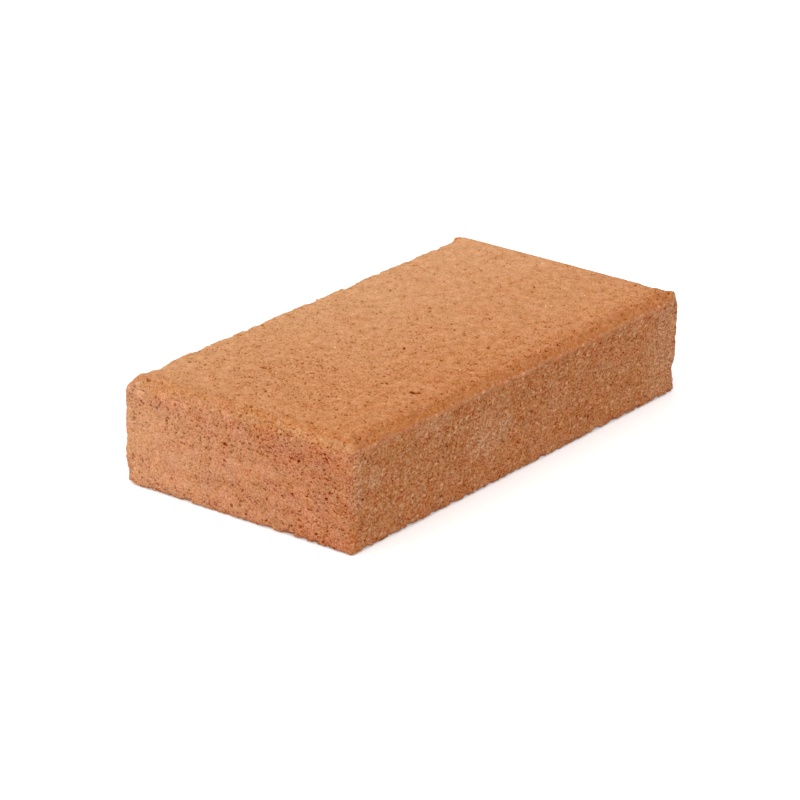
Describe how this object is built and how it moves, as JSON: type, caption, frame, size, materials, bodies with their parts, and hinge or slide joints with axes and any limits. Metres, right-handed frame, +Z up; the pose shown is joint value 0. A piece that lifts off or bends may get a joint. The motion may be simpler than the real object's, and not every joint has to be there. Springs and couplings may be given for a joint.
{
  "type": "concrete paver",
  "caption": "Rectangular terracotta-coloured concrete paver with a bevelled upper edge, laid on its bed face to surface a path or patio.",
  "frame": {"origin": "middle of the bed face, on which the unit lies", "axes": "+X along the length, +Y across the width, +Z up out of the wearing face"},
  "size_m": [0.2, 0.1, 0.04],
  "materials": {
    "pressed_concrete": "matte"
  },
  "bodies": {
    "root": {"paver_block": "pressed_concrete"}
  },
  "joints": []
}
